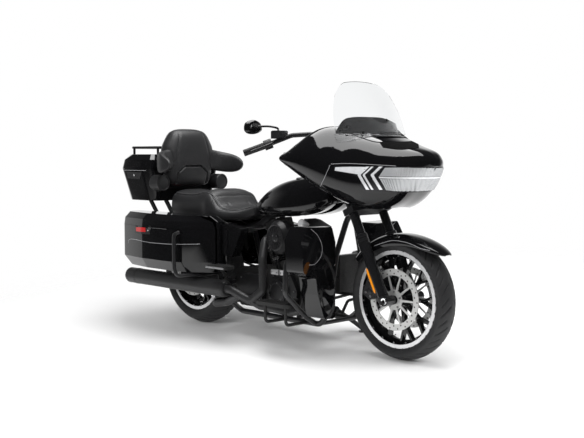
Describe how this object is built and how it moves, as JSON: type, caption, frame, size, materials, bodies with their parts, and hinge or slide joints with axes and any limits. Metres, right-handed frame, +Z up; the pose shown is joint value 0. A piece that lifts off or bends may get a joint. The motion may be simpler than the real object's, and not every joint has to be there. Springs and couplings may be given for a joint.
{
  "type": "touring cruiser motorcycle",
  "caption": "Touring motorcycle with frame-mounted fairing, V-twin engine, hard saddlebags and a tour box, leaning on its side stand.",
  "frame": {"origin": "middle of the bounding box, on the ground", "axes": "+X forward, +Y to the rider's left, +Z up"},
  "size_m": [2.5639, 1.0217, 1.4554],
  "materials": {
    "gloss_paint": "gloss",
    "satin_paint": "satin",
    "engine_paint": "satin",
    "machined_metal": "machined",
    "disc_steel": "brushed",
    "dark_pipe": "satin",
    "plastic": "matte",
    "tyre_rubber": "matte",
    "rubber": "matte",
    "vinyl": "grained",
    "screen": "clear",
    "lens": "clear",
    "red_lens": "gloss"
  },
  "bodies": {
    "chassis": {"frame": "satin_paint", "crankcase": "engine_paint", "primary_cover": "engine_paint", "cam_cover": "engine_paint", "cylinder_front": "engine_paint", "cylinder_rear": "engine_paint", "air_cleaner": "satin_paint", "exhaust": "dark_pipe", "swingarm": "satin_paint", "shocks": "satin_paint", "drive_belt": "rubber", "rear_fender": "gloss_paint", "saddlebag_right": "gloss_paint", "saddlebag_left": "gloss_paint", "tour_box": "gloss_paint", "tour_box_bracket": "satin_paint", "seat": "vinyl", "backrest": "vinyl", "speaker_pods": "plastic", "fuel_tank": "gloss_paint", "side_covers": "gloss_paint", "footboards": "rubber", "fairing_outer": "gloss_paint", "fairing_inner": "plastic", "headlamp": "lens", "wind_vent": "plastic", "windshield": "screen", "engine_guard": "satin_paint", "bag_guards": "satin_paint", "lower_fairings": "gloss_paint", "oil_cooler": "machined_metal", "tail_lamp": "red_lens"},
    "steering": {"yokes": "satin_paint", "fork_legs": "satin_paint", "front_fender": "gloss_paint", "handlebar": "satin_paint", "hand_controls": "satin_paint", "mirrors": "satin_paint", "front_calipers": "satin_paint"},
    "front_wheel": {"front_rim": "gloss_paint", "front_tyre": "tyre_rubber", "front_discs": "disc_steel"},
    "rear_wheel": {"rear_rim": "gloss_paint", "rear_tyre": "tyre_rubber", "rear_disc": "disc_steel", "rear_pulley": "satin_paint"},
    "bag_lid_right": {"bag_lid_right": "gloss_paint"},
    "bag_lid_left": {"bag_lid_left": "gloss_paint"},
    "tour_lid": {"tour_box_lid": "gloss_paint", "luggage_rack": "satin_paint"},
    "side_stand": {"side_stand": "satin_paint"}
  },
  "joints": [
    {"name": "steering", "type": "hinge", "parent": "chassis", "child": "steering", "pos_m": [0.71655, -0.00428, 0.85106], "axis": [-0.4384, 0.0783, 0.8954], "range_deg": [-33, 33]},
    {"name": "front_wheel", "type": "hinge", "parent": "steering", "child": "front_wheel", "pos_m": [0.963, -0.0509, 0.31824], "axis": [0, 0.9962, -0.0872], "continuous": true},
    {"name": "rear_wheel", "type": "hinge", "parent": "chassis", "child": "rear_wheel", "pos_m": [-0.662, -0.05016, 0.3267], "axis": [0, 0.9962, -0.0872], "continuous": true},
    {"name": "bag_lid_right", "type": "hinge", "parent": "chassis", "child": "bag_lid_right", "pos_m": [-0.562, -0.46628, 0.66476], "axis": [1, 0, 0], "range_deg": [0, 80]},
    {"name": "bag_lid_left", "type": "hinge", "parent": "chassis", "child": "bag_lid_left", "pos_m": [-0.562, 0.41834, 0.58736], "axis": [-1, 0, 0], "range_deg": [0, 80]},
    {"name": "tour_box_lid", "type": "hinge", "parent": "chassis", "child": "tour_lid", "pos_m": [-1.012, 0.30912, 0.94524], "axis": [-1, 0, 0], "range_deg": [0, 80]},
    {"name": "side_stand", "type": "hinge", "parent": "chassis", "child": "side_stand", "pos_m": [0.323, 0.11725, 0.15195], "axis": [0.2551, 0.599, 0.7591], "range_deg": [0, 92]}
  ]
}
